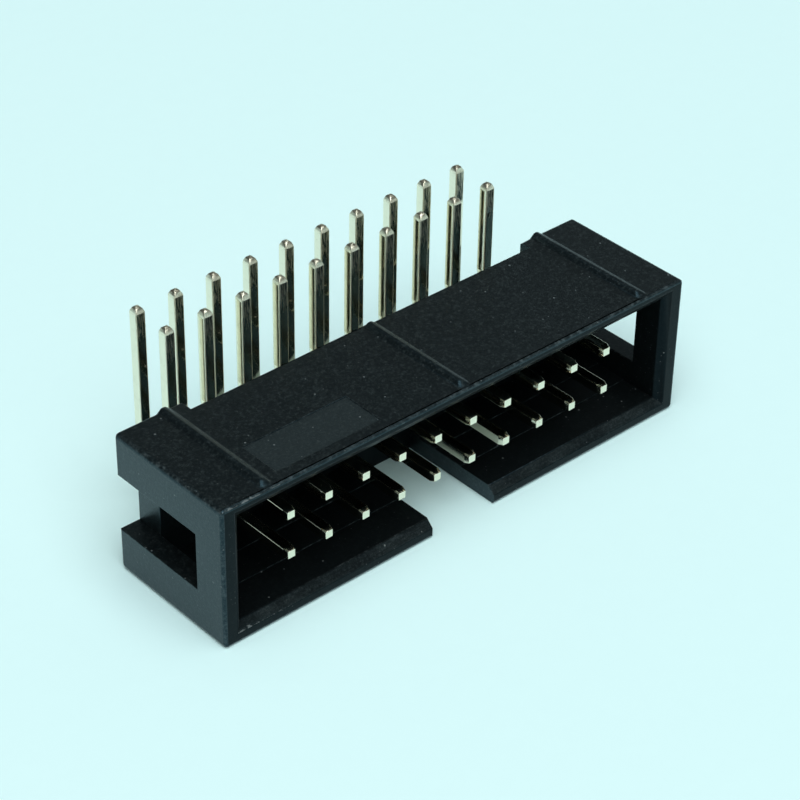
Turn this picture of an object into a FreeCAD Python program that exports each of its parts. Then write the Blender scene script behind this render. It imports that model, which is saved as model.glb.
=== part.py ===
import FreeCAD, Part
import math
import os

import Sketcher
from FreeCAD import Vector

# Right-angle shrouded pin header for a flat-cable socket: one moulded housing and
# two rows of bent square contacts. It lies as it would on a bench, on the wall with the
# key slot. X runs along the rows, the mouth faces -Y and the board side faces +Z.
# The origin is under the middle of the whole part. All sizes are in millimetres.

SIZES = {
    # rows of contacts
    "pitch": 2.54,
    "columns": 10,
    "end_distance": 5.08,
    # moulded housing
    "housing_height": 8.8,
    "housing_depth": 8.8,
    "end_wall": 1.3,
    "face_wall": 1.05,
    "cavity_depth": 6.9,
    "mouth_chamfer": 0.45,
    "ear_width": 4.3,
    "ear_step": 0.85,
    "key_width": 4.5,
    "end_slot_height": 3.55,
    "end_slot_setback": 2.2,
    "standoff_foot": 0.75,
    "standoff_crown": 0.3,
    "standoff_rise": 0.22,
    "standoff_spacing": 13.4,
    "edge_radius": 0.2,
    "heel_radius": 0.55,
    # bent contacts
    "wire_size": 0.64,
    "wire_corner": 0.09,
    "hole_clearance": 0.0,
    "tip_recess": 0.8,
    "mating_tip_flat": 0.48,
    "mating_tip_length": 0.3,
    "tail_tip_flat": 0.4,
    "tail_tip_length": 0.36,
    "tail_row_distance": 2.9,
    "tail_reach": 3.3,
    "bend_radius": 0.4,
}

# Positions worked out from the sheet, as expressions that the document keeps.
LENGTH = "((Sizes.columns - 1) * Sizes.pitch + 2 * Sizes.end_distance)"
MIDDLE_DEPTH = "(Sizes.housing_depth - Sizes.ear_step)"
OVERALL_DEPTH = f"({MIDDLE_DEPTH} + Sizes.tail_row_distance + Sizes.pitch + Sizes.wire_size / 2)"
MOUTH_Y = f"(-{OVERALL_DEPTH} / 2)"
BASE_Y = f"({MOUTH_Y} + Sizes.cavity_depth)"
REAR_Y = f"({MOUTH_Y} + Sizes.housing_depth)"
MIDDLE_REAR_Y = f"({MOUTH_Y} + {MIDDLE_DEPTH})"
SHORT_TAIL_Y = f"({MIDDLE_REAR_Y} + Sizes.tail_row_distance)"
LONG_TAIL_Y = f"({SHORT_TAIL_Y} + Sizes.pitch)"
LOWER_ROW_Z = "(Sizes.housing_height / 2 - Sizes.pitch / 2)"
UPPER_ROW_Z = "(Sizes.housing_height / 2 + Sizes.pitch / 2)"
TAIL_TOP_Z = "(Sizes.housing_height + Sizes.tail_reach)"
FIRST_COLUMN_X = "(-(Sizes.columns - 1) * Sizes.pitch / 2)"
CAVITY_LENGTH = f"({LENGTH} - 2 * Sizes.end_wall)"
CAVITY_HEIGHT = "(Sizes.housing_height - 2 * Sizes.face_wall)"

TOLERANCE = 1e-4

document = FreeCAD.newDocument("shrouded_header")


def make_sheet():
    """Write the driving sizes into the sheet, one alias a row."""
    sheet = document.addObject("Spreadsheet::Sheet", "Sizes")
    for row, (alias, value) in enumerate(SIZES.items(), start=1):
        sheet.set(f"A{row}", alias)
        sheet.set(f"B{row}", str(value))
        sheet.setAlias(f"B{row}", alias)
    document.recompute()
    return sheet


def value_of(expression):
    """Return the number that an expression on the sheet gives."""
    return float(sheet.evalExpression(expression.replace("Sizes.", "")))


def origin_plane(body, role):
    """Return one of the body's own origin planes."""
    for feature in body.Origin.OriginFeatures:
        if feature.Role == role:
            return feature
    raise RuntimeError(f"{body.Label} has no {role}")


def add_sketch(body, name, role, offset):
    """Add a sketch on an origin plane, moved by expressions along the plane's own axes."""
    sketch = body.newObject("Sketcher::SketchObject", name)
    sketch.AttachmentSupport = (origin_plane(body, role), [""])
    sketch.MapMode = "FlatFace"
    for axis, expression in zip("xyz", offset):
        sketch.setExpression(f"AttachmentOffset.Base.{axis}", expression)
    return sketch


def name_size(sketch, constraint, name, expression):
    """Add a dimension to a sketch and tie it to an expression."""
    index = sketch.addConstraint(constraint)
    sketch.renameConstraint(index, name)
    sketch.setExpression(f"Constraints.{name}", expression)


def draw_rectangle(sketch, width, height):
    """Draw a rectangle about the sketch's origin."""
    half_width = value_of(width) / 2
    half_height = value_of(height) / 2
    corners = [Vector(-half_width, -half_height), Vector(half_width, -half_height),
               Vector(half_width, half_height), Vector(-half_width, half_height)]
    for index in range(4):
        sketch.addGeometry(Part.LineSegment(corners[index], corners[(index + 1) % 4]), False)
    for index in range(4):
        sketch.addConstraint(Sketcher.Constraint("Coincident", index, 2, (index + 1) % 4, 1))
    for index in (0, 2):
        sketch.addConstraint(Sketcher.Constraint("Horizontal", index))
        sketch.addConstraint(Sketcher.Constraint("Vertical", index + 1))
    sketch.addConstraint(Sketcher.Constraint("Symmetric", 0, 1, 2, 1, -1, 1))
    name_size(sketch, Sketcher.Constraint("DistanceX", 0, 1, 0, 2, 2 * half_width), "width", width)
    name_size(sketch, Sketcher.Constraint("DistanceY", 1, 1, 1, 2, 2 * half_height), "height", height)


def draw_wire_section(sketch, side, corner):
    """Draw a square about the sketch's origin, with its four corners cut off."""
    half = value_of(side) / 2
    flat = half - value_of(corner)
    for quarter in range(4):
        turn = FreeCAD.Rotation(Vector(0, 0, 1), 90 * quarter)
        start = turn.multVec(Vector(-flat, -half))
        end = turn.multVec(Vector(flat, -half))
        next_start = turn.multVec(Vector(half, -flat))
        sketch.addGeometry(Part.LineSegment(start, end), False)
        sketch.addGeometry(Part.LineSegment(end, next_start), False)
    for line in range(8):
        sketch.addConstraint(Sketcher.Constraint("Coincident", line, 2, (line + 1) % 8, 1))
    sketch.addConstraint(Sketcher.Constraint("Symmetric", 0, 1, 0, 2, -2))
    sketch.addConstraint(Sketcher.Constraint("Symmetric", 2, 1, 2, 2, -1))
    for line, opposite, direction in ((0, 4, "Horizontal"), (2, 6, "Vertical")):
        sketch.addConstraint(Sketcher.Constraint("Symmetric", line, 1, opposite, 1, -1, 1))
        sketch.addConstraint(Sketcher.Constraint(direction, opposite))
        sketch.addConstraint(Sketcher.Constraint("Equal", line, opposite))
    sketch.addConstraint(Sketcher.Constraint("Equal", 0, 2))
    name_size(sketch, Sketcher.Constraint("DistanceX", 6, 1, 2, 1, 2 * half), "width", side)
    name_size(sketch, Sketcher.Constraint("DistanceY", 0, 1, 4, 1, 2 * half), "height", side)
    name_size(sketch, Sketcher.Constraint("DistanceX", 0, 1, 0, 2, 2 * flat), "flat", f"{side} - 2 * {corner}")


def draw_trapezoid(sketch, foot, crown, rise):
    """Draw a low profile with sloping flanks and a flat crown, on the sketch's X axis."""
    half_foot = value_of(foot) / 2
    half_crown = value_of(crown) / 2
    height = value_of(rise)
    corners = [Vector(-half_foot, 0), Vector(half_foot, 0),
               Vector(half_crown, height), Vector(-half_crown, height)]
    for index in range(4):
        sketch.addGeometry(Part.LineSegment(corners[index], corners[(index + 1) % 4]), False)
    for index in range(4):
        sketch.addConstraint(Sketcher.Constraint("Coincident", index, 2, (index + 1) % 4, 1))
    sketch.addConstraint(Sketcher.Constraint("Symmetric", 0, 1, 0, 2, -1, 1))
    sketch.addConstraint(Sketcher.Constraint("Horizontal", 0))
    sketch.addConstraint(Sketcher.Constraint("Horizontal", 2))
    sketch.addConstraint(Sketcher.Constraint("Equal", 1, 3))
    name_size(sketch, Sketcher.Constraint("DistanceX", 0, 1, 0, 2, 2 * half_foot), "foot", foot)
    name_size(sketch, Sketcher.Constraint("DistanceX", 2, 2, 2, 1, 2 * half_crown), "crown", crown)
    name_size(sketch, Sketcher.Constraint("DistanceY", 1, 1, 1, 2, height), "rise", rise)


def add_pad(body, sketch, name, length, reverse=False):
    """Raise a sketch into a solid and check that material was added."""
    before = body.Shape.Volume if body.Tip else 0.0
    pad = body.newObject("PartDesign::Pad", name)
    pad.Profile = sketch
    pad.setExpression("Length", length)
    pad.Reversed = reverse
    sketch.Visibility = False
    document.recompute()
    if body.Shape.Volume <= before + TOLERANCE:
        raise RuntimeError(f"{name} adds nothing to {body.Label}")
    return pad


def add_pocket(body, sketch, name, length, reverse=False):
    """Sink a sketch into a solid and check that material was removed."""
    before = body.Shape.Volume
    pocket = body.newObject("PartDesign::Pocket", name)
    pocket.Profile = sketch
    pocket.setExpression("Length", length)
    pocket.Reversed = reverse
    sketch.Visibility = False
    document.recompute()
    if body.Shape.Volume >= before - TOLERANCE:
        raise RuntimeError(f"{name} removes nothing from {body.Label}")
    return pocket


def edges_within(feature, low, high):
    """Name the edges of a feature that lie wholly between two corners."""
    names = []
    for number, edge in enumerate(feature.Shape.Edges, start=1):
        box = edge.BoundBox
        inside_low = min(box.XMin - low[0], box.YMin - low[1], box.ZMin - low[2]) > -TOLERANCE
        inside_high = min(high[0] - box.XMax, high[1] - box.YMax, high[2] - box.ZMax) > -TOLERANCE
        if inside_low and inside_high:
            names.append(f"Edge{number}")
    return names


def add_edge_finish(body, kind, name, edges, size_property, expression):
    """Round or chamfer named edges of the body's last feature."""
    base = body.Tip
    finish = body.newObject(f"PartDesign::{kind}", name)
    finish.Base = (base, sorted(set(edges)))
    finish.setExpression(size_property, expression)
    body.Tip = finish
    document.recompute()
    return finish


def add_mirror(body, feature, name):
    """Repeat a feature on the other side of the housing's middle."""
    mirror = body.newObject("PartDesign::Mirrored", name)
    mirror.Originals = [feature]
    mirror.MirrorPlane = (origin_plane(body, "YZ_Plane"), [""])
    body.Tip = mirror
    document.recompute()
    return mirror


def make_block(body):
    """Raise the plain block and round its outer edges, the rear lower one more."""
    centre_y = f"({MOUTH_Y} + Sizes.housing_depth / 2)"
    plan = add_sketch(body, "block_plan", "XY_Plane", ("0", centre_y, "0"))
    draw_rectangle(plan, LENGTH, "Sizes.housing_depth")
    block = add_pad(body, plan, "block", "Sizes.housing_height")

    half_length = value_of(LENGTH) / 2
    mouth_y = value_of(MOUTH_Y)
    rear_y = value_of(REAR_Y)
    top_z = value_of("Sizes.housing_height")
    heel = edges_within(block, (-half_length, rear_y, 0), (half_length, rear_y, 0))
    rounded = add_edge_finish(body, "Fillet", "heel", heel, "Radius", "Sizes.heel_radius")

    outer = edges_within(rounded, (-half_length, mouth_y, 0), (-half_length, rear_y, top_z))
    outer += edges_within(rounded, (half_length, mouth_y, 0), (half_length, rear_y, top_z))
    for y, z in ((mouth_y, 0), (mouth_y, top_z), (rear_y, top_z)):
        outer += edges_within(rounded, (-half_length, y, z), (half_length, y, z))
    add_edge_finish(body, "Fillet", "outer_edges", outer, "Radius", "Sizes.edge_radius")


def make_rear_step(body):
    """Set the middle of the rear face forward, which leaves an ear at each end."""
    centre_y = f"({REAR_Y} - Sizes.ear_step / 2)"
    plan = add_sketch(body, "rear_step_plan", "XY_Plane", ("0", centre_y, "0"))
    draw_rectangle(plan, f"{LENGTH} - 2 * Sizes.ear_width", "Sizes.ear_step")
    add_pocket(body, plan, "rear_step", "Sizes.housing_height", reverse=True)


def make_cavity(body):
    """Sink the cavity for the cable socket and chamfer its mouth all round."""
    front = add_sketch(body, "cavity_front", "XZ_Plane", ("0", "Sizes.housing_height / 2", f"-{MOUTH_Y}"))
    draw_rectangle(front, CAVITY_LENGTH, CAVITY_HEIGHT)
    cavity = add_pocket(body, front, "cavity", "Sizes.cavity_depth")

    half_length = value_of(CAVITY_LENGTH) / 2
    mouth_y = value_of(MOUTH_Y)
    low_z = value_of("Sizes.face_wall")
    high_z = value_of("Sizes.housing_height - Sizes.face_wall")
    rim = edges_within(cavity, (-half_length, mouth_y, low_z), (half_length, mouth_y, high_z))
    add_edge_finish(body, "Chamfer", "mouth_lead_in", rim, "Size", "Sizes.mouth_chamfer")


def make_key_slot(body):
    """Open the slot in the lower wall that takes the key of the cable socket."""
    centre_y = f"({MOUTH_Y} + Sizes.cavity_depth / 2)"
    plan = add_sketch(body, "key_slot_plan", "XY_Plane", ("0", centre_y, "0"))
    draw_rectangle(plan, "Sizes.key_width", "Sizes.cavity_depth")
    add_pocket(body, plan, "key_slot", "Sizes.face_wall", reverse=True)


def make_end_slots(body):
    """Cut the slot in each end wall, open at the rear and through into the cavity."""
    depth = "(Sizes.housing_depth - Sizes.end_slot_setback)"
    centre_y = f"({REAR_Y} - {depth} / 2)"
    offset = (centre_y, "Sizes.housing_height / 2", f"{LENGTH} / 2")
    side = add_sketch(body, "end_slot_side", "YZ_Plane", offset)
    draw_rectangle(side, depth, "Sizes.end_slot_height")
    slot = add_pocket(body, side, "end_slot", "Sizes.end_wall")
    add_mirror(body, slot, "end_slot_opposite")


def make_contact_holes(body):
    """Open both rows of square holes through the base."""
    base_thickness = f"({MIDDLE_DEPTH} - Sizes.cavity_depth)"
    hole_size = "(Sizes.wire_size + 2 * Sizes.hole_clearance)"
    for row_name, row_z in (("lower", LOWER_ROW_Z), ("upper", UPPER_ROW_Z)):
        front = add_sketch(body, f"{row_name}_hole_front", "XZ_Plane", (FIRST_COLUMN_X, row_z, f"-{BASE_Y}"))
        draw_rectangle(front, hole_size, hole_size)
        hole = add_pocket(body, front, f"{row_name}_hole", base_thickness)
        row = body.newObject("PartDesign::LinearPattern", f"{row_name}_hole_row")
        row.Originals = [hole]
        row.Direction = (front, ["H_Axis"])
        row.setExpression("Length", "(Sizes.columns - 1) * Sizes.pitch")
        row.setExpression("Occurrences", "Sizes.columns")
        body.Tip = row
        document.recompute()


def make_standoffs(body):
    """Raise the three low ribs that stand between the housing and the board."""
    top = "Sizes.housing_height"
    front = f"-({MOUTH_Y} + Sizes.edge_radius)"
    profile = ("Sizes.standoff_foot", "Sizes.standoff_crown", "Sizes.standoff_rise")
    middle = add_sketch(body, "middle_standoff_front", "XZ_Plane", ("0", top, front))
    draw_trapezoid(middle, *profile)
    add_pad(body, middle, "middle_standoff", f"{MIDDLE_DEPTH} - Sizes.edge_radius", reverse=True)
    side = add_sketch(body, "side_standoff_front", "XZ_Plane", ("Sizes.standoff_spacing", top, front))
    draw_trapezoid(side, *profile)
    length = "Sizes.housing_depth - 2 * Sizes.edge_radius"
    rib = add_pad(body, side, "side_standoff", length, reverse=True)
    add_mirror(body, rib, "side_standoff_opposite")


def make_housing():
    """Build the moulded housing, which is one piece."""
    body = document.addObject("PartDesign::Body", "housing")
    make_block(body)
    make_rear_step(body)
    make_cavity(body)
    make_key_slot(body)
    make_end_slots(body)
    make_contact_holes(body)
    make_standoffs(body)
    return body


def draw_route(sketch, end_y, end_z, radius):
    """Draw the contact's centre line: straight back, a tight bend, straight up."""
    end_y_value = value_of(end_y)
    end_z_value = value_of(end_z)
    radius_value = value_of(radius)
    bend_start = Vector(end_y_value - radius_value, 0)
    bend_end = Vector(end_y_value, radius_value)
    centre = Vector(end_y_value - radius_value, radius_value)
    sketch.addGeometry(Part.LineSegment(Vector(0, 0), bend_start), False)
    circle = Part.Circle(centre, Vector(0, 0, 1), radius_value)
    sketch.addGeometry(Part.ArcOfCircle(circle, -math.pi / 2, 0), False)
    sketch.addGeometry(Part.LineSegment(bend_end, Vector(end_y_value, end_z_value)), False)
    sketch.addConstraint(Sketcher.Constraint("Coincident", 0, 1, -1, 1))
    sketch.addConstraint(Sketcher.Constraint("Horizontal", 0))
    sketch.addConstraint(Sketcher.Constraint("Tangent", 0, 2, 1, 1))
    sketch.addConstraint(Sketcher.Constraint("Tangent", 1, 2, 2, 1))
    sketch.addConstraint(Sketcher.Constraint("Vertical", 2))
    name_size(sketch, Sketcher.Constraint("Radius", 1, radius_value), "bend", radius)
    name_size(sketch, Sketcher.Constraint("DistanceX", -1, 1, 2, 2, end_y_value), "reach", end_y)
    name_size(sketch, Sketcher.Constraint("DistanceY", -1, 1, 2, 2, end_z_value), "rise", end_z)


def add_tip(body, name, shoulder, point):
    """Narrow the wire from its full section to its blunt point."""
    before = body.Shape.Volume
    tip = body.newObject("PartDesign::AdditiveLoft", name)
    tip.Profile = shoulder
    tip.Sections = [point]
    tip.Ruled = True
    document.recompute()
    if body.Shape.Volume <= before + TOLERANCE:
        raise RuntimeError(f"{name} adds nothing to {body.Label}")


def make_contact(label, column, row_z, tail_y):
    """Build one bent square contact, blunt-pointed at both ends."""
    shoulder_y = f"({MOUTH_Y} + Sizes.tip_recess + Sizes.mating_tip_length)"
    shoulder_z = f"({TAIL_TOP_Z} - Sizes.tail_tip_length)"
    centre_radius = "(Sizes.bend_radius + Sizes.wire_size / 2)"
    body = document.addObject("PartDesign::Body", label)
    body.setExpression("Placement.Base.x", f"{FIRST_COLUMN_X} + {column} * Sizes.pitch")

    section = add_sketch(body, f"{label}_section", "XZ_Plane", ("0", row_z, f"-{shoulder_y}"))
    draw_wire_section(section, "Sizes.wire_size", "Sizes.wire_corner")
    route = add_sketch(body, f"{label}_route", "YZ_Plane", (shoulder_y, row_z, "0"))
    draw_route(route, f"{tail_y} - {shoulder_y}", f"{shoulder_z} - {row_z}", centre_radius)
    wire = body.newObject("PartDesign::AdditivePipe", f"{label}_wire")
    wire.Profile = section
    wire.Spine = (route, [])
    document.recompute()

    mating_point = add_sketch(body, f"{label}_mating_point", "XZ_Plane",
                              ("0", row_z, f"-({shoulder_y} - Sizes.mating_tip_length)"))
    mating_corner = "(Sizes.wire_corner * Sizes.mating_tip_flat / Sizes.wire_size)"
    draw_wire_section(mating_point, "Sizes.mating_tip_flat", mating_corner)
    add_tip(body, f"{label}_mating_tip", section, mating_point)

    tail_section = add_sketch(body, f"{label}_tail_section", "XY_Plane", ("0", tail_y, shoulder_z))
    draw_wire_section(tail_section, "Sizes.wire_size", "Sizes.wire_corner")
    tail_point = add_sketch(body, f"{label}_tail_point", "XY_Plane", ("0", tail_y, TAIL_TOP_Z))
    tail_corner = "(Sizes.wire_corner * Sizes.tail_tip_flat / Sizes.wire_size)"
    draw_wire_section(tail_point, "Sizes.tail_tip_flat", tail_corner)
    add_tip(body, f"{label}_tail_tip", tail_section, tail_point)
    return body


def make_contacts():
    """Build both rows: long contacts below, short ones above, each with its own tail row."""
    contacts = []
    for column in range(int(value_of("Sizes.columns"))):
        number = f"{column + 1:02d}"
        contacts.append(make_contact(f"long_contact_{number}", column, LOWER_ROW_Z, LONG_TAIL_Y))
        contacts.append(make_contact(f"short_contact_{number}", column, UPPER_ROW_Z, SHORT_TAIL_Y))
    return contacts


def check_document(bodies):
    """Stop if any feature failed or any piece is not one valid solid."""
    document.recompute()
    for thing in document.Objects:
        if "Invalid" in thing.State or "Error" in thing.State:
            raise RuntimeError(f"{thing.Label} failed: {thing.State}")
    for body in bodies:
        shape = body.Shape
        if shape.isNull() or not shape.isValid() or len(shape.Solids) != 1:
            raise RuntimeError(f"{body.Label} is not one valid solid")


def write_pieces(bodies):
    """Write each piece to its own file, named after its label."""
    os.makedirs("parts", exist_ok=True)
    for body in bodies:
        body.Shape.exportStep(os.path.join("parts", f"{body.Label}.step"))
        print(f"{body.Label}: {body.Shape.Volume:.3f} cubic mm")


sheet = make_sheet()
pieces = [make_housing()] + make_contacts()
check_document(pieces)
write_pieces(pieces)
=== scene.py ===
import math
import random

import bmesh
import bpy
from bpy.props import FloatProperty, FloatVectorProperty, IntProperty, PointerProperty
from mathutils import Matrix, Vector


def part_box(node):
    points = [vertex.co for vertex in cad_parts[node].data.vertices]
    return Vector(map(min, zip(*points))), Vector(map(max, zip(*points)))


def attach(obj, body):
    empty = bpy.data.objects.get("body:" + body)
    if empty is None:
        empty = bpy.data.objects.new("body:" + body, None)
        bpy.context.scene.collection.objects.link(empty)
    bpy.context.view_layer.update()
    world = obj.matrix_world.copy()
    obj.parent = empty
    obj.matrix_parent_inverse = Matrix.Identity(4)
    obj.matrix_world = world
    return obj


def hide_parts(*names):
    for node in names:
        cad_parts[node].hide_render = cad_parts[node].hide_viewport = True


bl_info = {
    "name": "Right-angle box header",
    "version": (1, 0, 0),
    "blender": (4, 5, 0),
    "location": "View3D > Sidebar > Box Header",
    "description": "Moulded housing, bent square contacts and a pale table for a box header",
    "category": "Object",
}

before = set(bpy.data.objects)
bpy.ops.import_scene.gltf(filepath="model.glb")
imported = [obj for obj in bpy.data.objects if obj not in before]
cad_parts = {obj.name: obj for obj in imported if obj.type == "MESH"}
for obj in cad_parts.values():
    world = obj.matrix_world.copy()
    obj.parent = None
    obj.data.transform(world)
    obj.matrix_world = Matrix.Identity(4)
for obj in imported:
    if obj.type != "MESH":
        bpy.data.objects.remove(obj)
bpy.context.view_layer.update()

MM = 0.001
NEAR = 0.01 * MM
LAP = 0.1 * MM
ROOT = "root"
HOUSING_LOW, HOUSING_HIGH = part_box("housing")
LONG_CONTACTS = sorted(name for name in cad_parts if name.startswith("long_contact"))
SHORT_CONTACTS = sorted(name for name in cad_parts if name.startswith("short_contact"))
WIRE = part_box(LONG_CONTACTS[0])[1].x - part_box(LONG_CONTACTS[0])[0].x

# grain: bump in mm; lift, mottle: shares of the fleck colour; shine: strength of the reflection
PLASTIC_LOOKS = {
    "moulded_plastic": {"grain": 0.007, "roughness": 0.30, "lift": 0.0, "mottle": 0.80, "shine": 0.5},
    "label_field_plastic": {"grain": 0.009, "roughness": 0.42, "lift": 0.30, "mottle": 0.80, "shine": 0.5},
    # The cavity, its lead-in and the front face get a plainer, darker colour and a weaker reflection, as
    # painted shade
    "cavity_and_front_plastic_painted_shade": {"grain": 0.004, "roughness": 0.34, "lift": 0.0, "mottle": 0.15, "shine": 0.12},
}

# Cell size and largest radius in millimetres, and the share of the cells that hold a speck
SPECKS = {
    "dust": {"Spacing": 0.5, "Radius": 0.05, "Share": 0.28},
    "lint": {"Spacing": 0.22, "Radius": 0.028, "Share": 0.26},
    "pits": {"Spacing": 0.42, "Radius": 0.035, "Share": 0.35},
    "tarnish": {"Spacing": 0.3, "Radius": 0.03, "Share": 0.3},
}

# How far each effect takes over from the plain plastic
LEAD_IN_LIFT = 0.25
LEAD_IN_MOTTLE = 0.6
FLECK_SHARE = 0.4
# Rubbed edges: partly real wear, partly a painted edge highlight
RUBBED_AND_HIGHLIT_SHARE = 0.65
SCUFFED_SHARE = 0.40
LINT_SHARE = 0.4
LOOSE_SHARE = 0.6

# Bump heights in millimetres
DUST_HEIGHT = 0.02
PIT_DEPTH = 0.006
TORN_HEIGHT = 0.02
DRAWN_HEIGHT = 0.0012

# What each mark adds to the roughness, and how far it dulls the plating's colour
PLASTIC_ROUGHNESS = {"clouds": 0.06, "dust": 0.4, "exposed": 0.25}
PLATING_ROUGHNESS = {"plain": 0.05, "dull": 0.05, "cut": 0.24, "corner": 0.34, "scraped": 0.27}
PLATING_DULLING = {"dull": 0.18, "cut": 0.5, "scraped": 0.5, "tarnish": 0.6}

# Marks on the meshes: how wide an edge with wear and painted highlight may be, and how much less the
# mating ends show
WORN_AND_HIGHLIT_WIDTH = 0.32 * MM
MATING_CUT = 0.4
MATING_CORNER = 0.25
SHEAR_LEAN = 0.35

# Light and table
LAMP_COLOUR = (0.90, 1.0, 1.0)
ROOM_COLOUR = (0.92, 1.0, 0.96)
ROOM_LEFT, ROOM_RIGHT = 0.35, 1.45
HORIZON_COLOUR = (0.70, 0.93, 0.96)
LAMP_DISTANCE = 1.5
TABLE_SIDE = 3.0
TABLE_GAP = 0.02 * MM


def number(name, description, value, **more):
    """A plain number that a user may change."""
    return FloatProperty(name=name, description=description, default=value, **more)


def length(name, description, millimetres, least=0.0):
    """A size that a user may change, kept in metres."""
    return number(name, description, millimetres * MM, min=least * MM,
                  precision=5, subtype="DISTANCE", unit="LENGTH")


def angle(name, description, degrees):
    """An angle that a user may change, kept in radians."""
    return number(name, description, math.radians(degrees), subtype="ANGLE", unit="ROTATION")


def colour(name, description, value):
    """A linear colour that a user may change."""
    return FloatVectorProperty(name=name, description=description, default=value,
                               min=0.0, max=1.0, size=3, subtype="COLOR")


class HousingSizes(bpy.types.PropertyGroup):
    """Sizes of the moulded housing that its box doesn't give."""
    end_wall: length("End wall", "Thickness of the two end walls", 1.3)
    face_wall: length("Face wall", "Thickness of the two long walls", 1.05)
    cavity_depth: length("Cavity depth", "Depth of the cavity behind the mouth", 6.9)
    mouth_chamfer: length("Mouth chamfer", "Lead-in round the mouth", 0.45)
    roof_chamfer: length("Roof chamfer", "Height of the lead-in on the board side", 0.62)
    ear_width: length("Ear width", "Length of each rear ear along the rows", 4.3)
    ear_step: length("Ear step", "How far the ears stand behind the middle", 0.85)
    key_width: length("Key width", "Width of the key slot", 4.5)
    end_slot_height: length("End slot height", "Height of the slot in each end wall", 3.55)
    end_slot_setback: length("End slot setback", "From the mouth to the end slot", 2.2)
    rib_foot: length("Rib foot", "Width of a board-side rib at its foot", 0.75)
    rib_crown: length("Rib crown", "Width of a board-side rib at its crown", 0.26)
    rib_rise: length("Rib rise", "Height of the board-side ribs", 0.22)
    rib_spacing: length("Rib spacing", "From the middle rib to an outer rib", 13.4)
    rib_front_gap: length("Rib front gap", "From the mouth to a rib's front end", 0.22)
    rib_front_slope: length("Rib front slope", "How far a rib's front end leans back", 0.4)
    rib_round: length("Rib rounding", "Rounding of the ribs' crowns", 0.125)
    rib_fillet: length("Rib fillet", "Hollow rounding at the ribs' feet", 0.09)
    step_one_setback: length("First step setback", "From the mouth to the floor's first fine step", 2.7)
    step_two_setback: length("Second step setback", "From the mouth to the second fine step", 4.8)
    step_rise: length("Floor step rise", "Height of each fine step", 0.06)
    step_round: length("Floor step rounding", "Rounding of the fine steps' edges", 0.04)
    outer_radius: length("Outer radius", "Rounding of the outer edges", 0.2)
    corner_radius: length("Corner radius", "Rounding of the four long corners", 0.3)
    heel_radius: length("Heel radius", "Rounding of the ears' lower rear edges, the largest", 0.55)
    inner_radius: length("Inner radius", "Rounding of slot, step and mouth edges", 0.05)
    label_length: length("Label length", "Length of the bare label field", 6.9)
    label_width: length("Label width", "Width of the bare label field", 2.71)
    label_centre_x: length("Label place", "Middle of the label field along the rows", -8.84, least=-20.0)
    label_setback: length("Label setback", "From the mouth to the label field", 0.885)
    label_depth: length("Label depth", "How deep the label field is sunk", 0.05)
    label_round: length("Label rounding", "Rounding of the label field's rim", 0.025)


class ContactSizes(bpy.types.PropertyGroup):
    """Sizes of the bent square contacts that their boxes don't give."""
    corner: length("Corner", "Rounding of the tail's four long edges", 0.09)
    mating_corner: length("Mating corner", "Rounding of the mating end's four long edges", 0.035)
    taper_corner: length("Taper corner", "Rounding of the tips' sloping edges", 0.055)
    bend_radius: length("Bend radius", "Inner radius of the bend", 0.4)
    mating_tip_flat: length("Mating tip flat", "Side of the mating tip's end face", 0.48)
    mating_tip_length: length("Mating tip length", "Length of the mating tip's taper", 0.3)
    tail_tip_flat: length("Tail tip flat", "Side of the tail tip where its taper ends", 0.4)
    tail_tip_length: length("Tail tip length", "Length of the tail tip with its low cap", 0.33)
    tail_cap_flat: length("Tail cap flat", "Side of the flat on the tail tip's low cap", 0.12)
    tail_cap_height: length("Tail cap height", "Height of the tail tip's low cap", 0.07)
    tip_edge: length("Tip edge", "Rounding of the tips' edges", 0.02)
    roughness_of_cut: length("Cut roughness", "How far the sheared tips depart from flat", 0.018)
    bend_steps: IntProperty(name="Bend steps", description="Faces along the bend", default=10, min=2)


class Finishes(bpy.types.PropertyGroup):
    """Colours of the plastic, the plating and the table."""
    plastic: colour("Plastic", "Black glass-filled plastic", (0.0030, 0.0040, 0.0044))
    plastic_fleck: colour("Plastic fleck", "Fibre flecks at the plastic's surface", (0.034, 0.042, 0.043))
    # Lighter colour of the rubbed edges: partly real wear, partly a painted edge highlight
    plastic_worn_and_edge_highlight: colour("Worn and highlit plastic", "Rubbed edges of the plastic", (0.075, 0.088, 0.092))
    plating: colour("Plating", "Bright tin plating", (0.90, 0.83, 0.67))
    plating_dull: colour("Dull plating", "Specks and dull streaks in the plating", (0.42, 0.38, 0.29))
    dust: colour("Dust", "Loose dust, lint and chips", (0.20, 0.21, 0.21))
    table: colour("Table", "Pale table top", (0.77, 0.97, 0.98))


class StageSettings(bpy.types.PropertyGroup):
    """View and light."""
    azimuth: angle("Azimuth", "Turn of the view", -42.2915)
    elevation: angle("Elevation", "Height angle of the view", 35.1435)
    roll: angle("Roll", "Tilt of the camera about its line of sight", 1.0725)
    distance: length("Distance", "From the camera to the point it looks at", 138.174)
    lens: number("Lens", "Focal length on a 36 mm sensor", 113.38, min=1.0)
    key_power: number("Key power", "Power of the large soft box", 28.2, min=0.0, subtype="POWER")
    fill_power: number("Fill power", "Power of the small soft box", 2.0, min=0.0, subtype="POWER")
    world_strength: number("Room light", "Strength of the dim room", 0.10, min=0.0)


def only(thing):
    """Select one object, make it active and return it."""
    bpy.ops.object.select_all(action="DESELECT")
    thing.select_set(True)
    bpy.context.view_layer.objects.active = thing
    return thing


def add_block(name, low, high):
    """Add a block between two corners, with its place in its mesh."""
    low, high = Vector(low), Vector(high)
    bpy.ops.object.select_all(action="DESELECT")
    bpy.ops.mesh.primitive_cube_add(size=1.0, location=(low + high) / 2, scale=high - low)
    block = only(bpy.context.object)
    block.name = name
    bpy.ops.object.transform_apply(location=True, rotation=True, scale=True)
    return block


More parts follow.
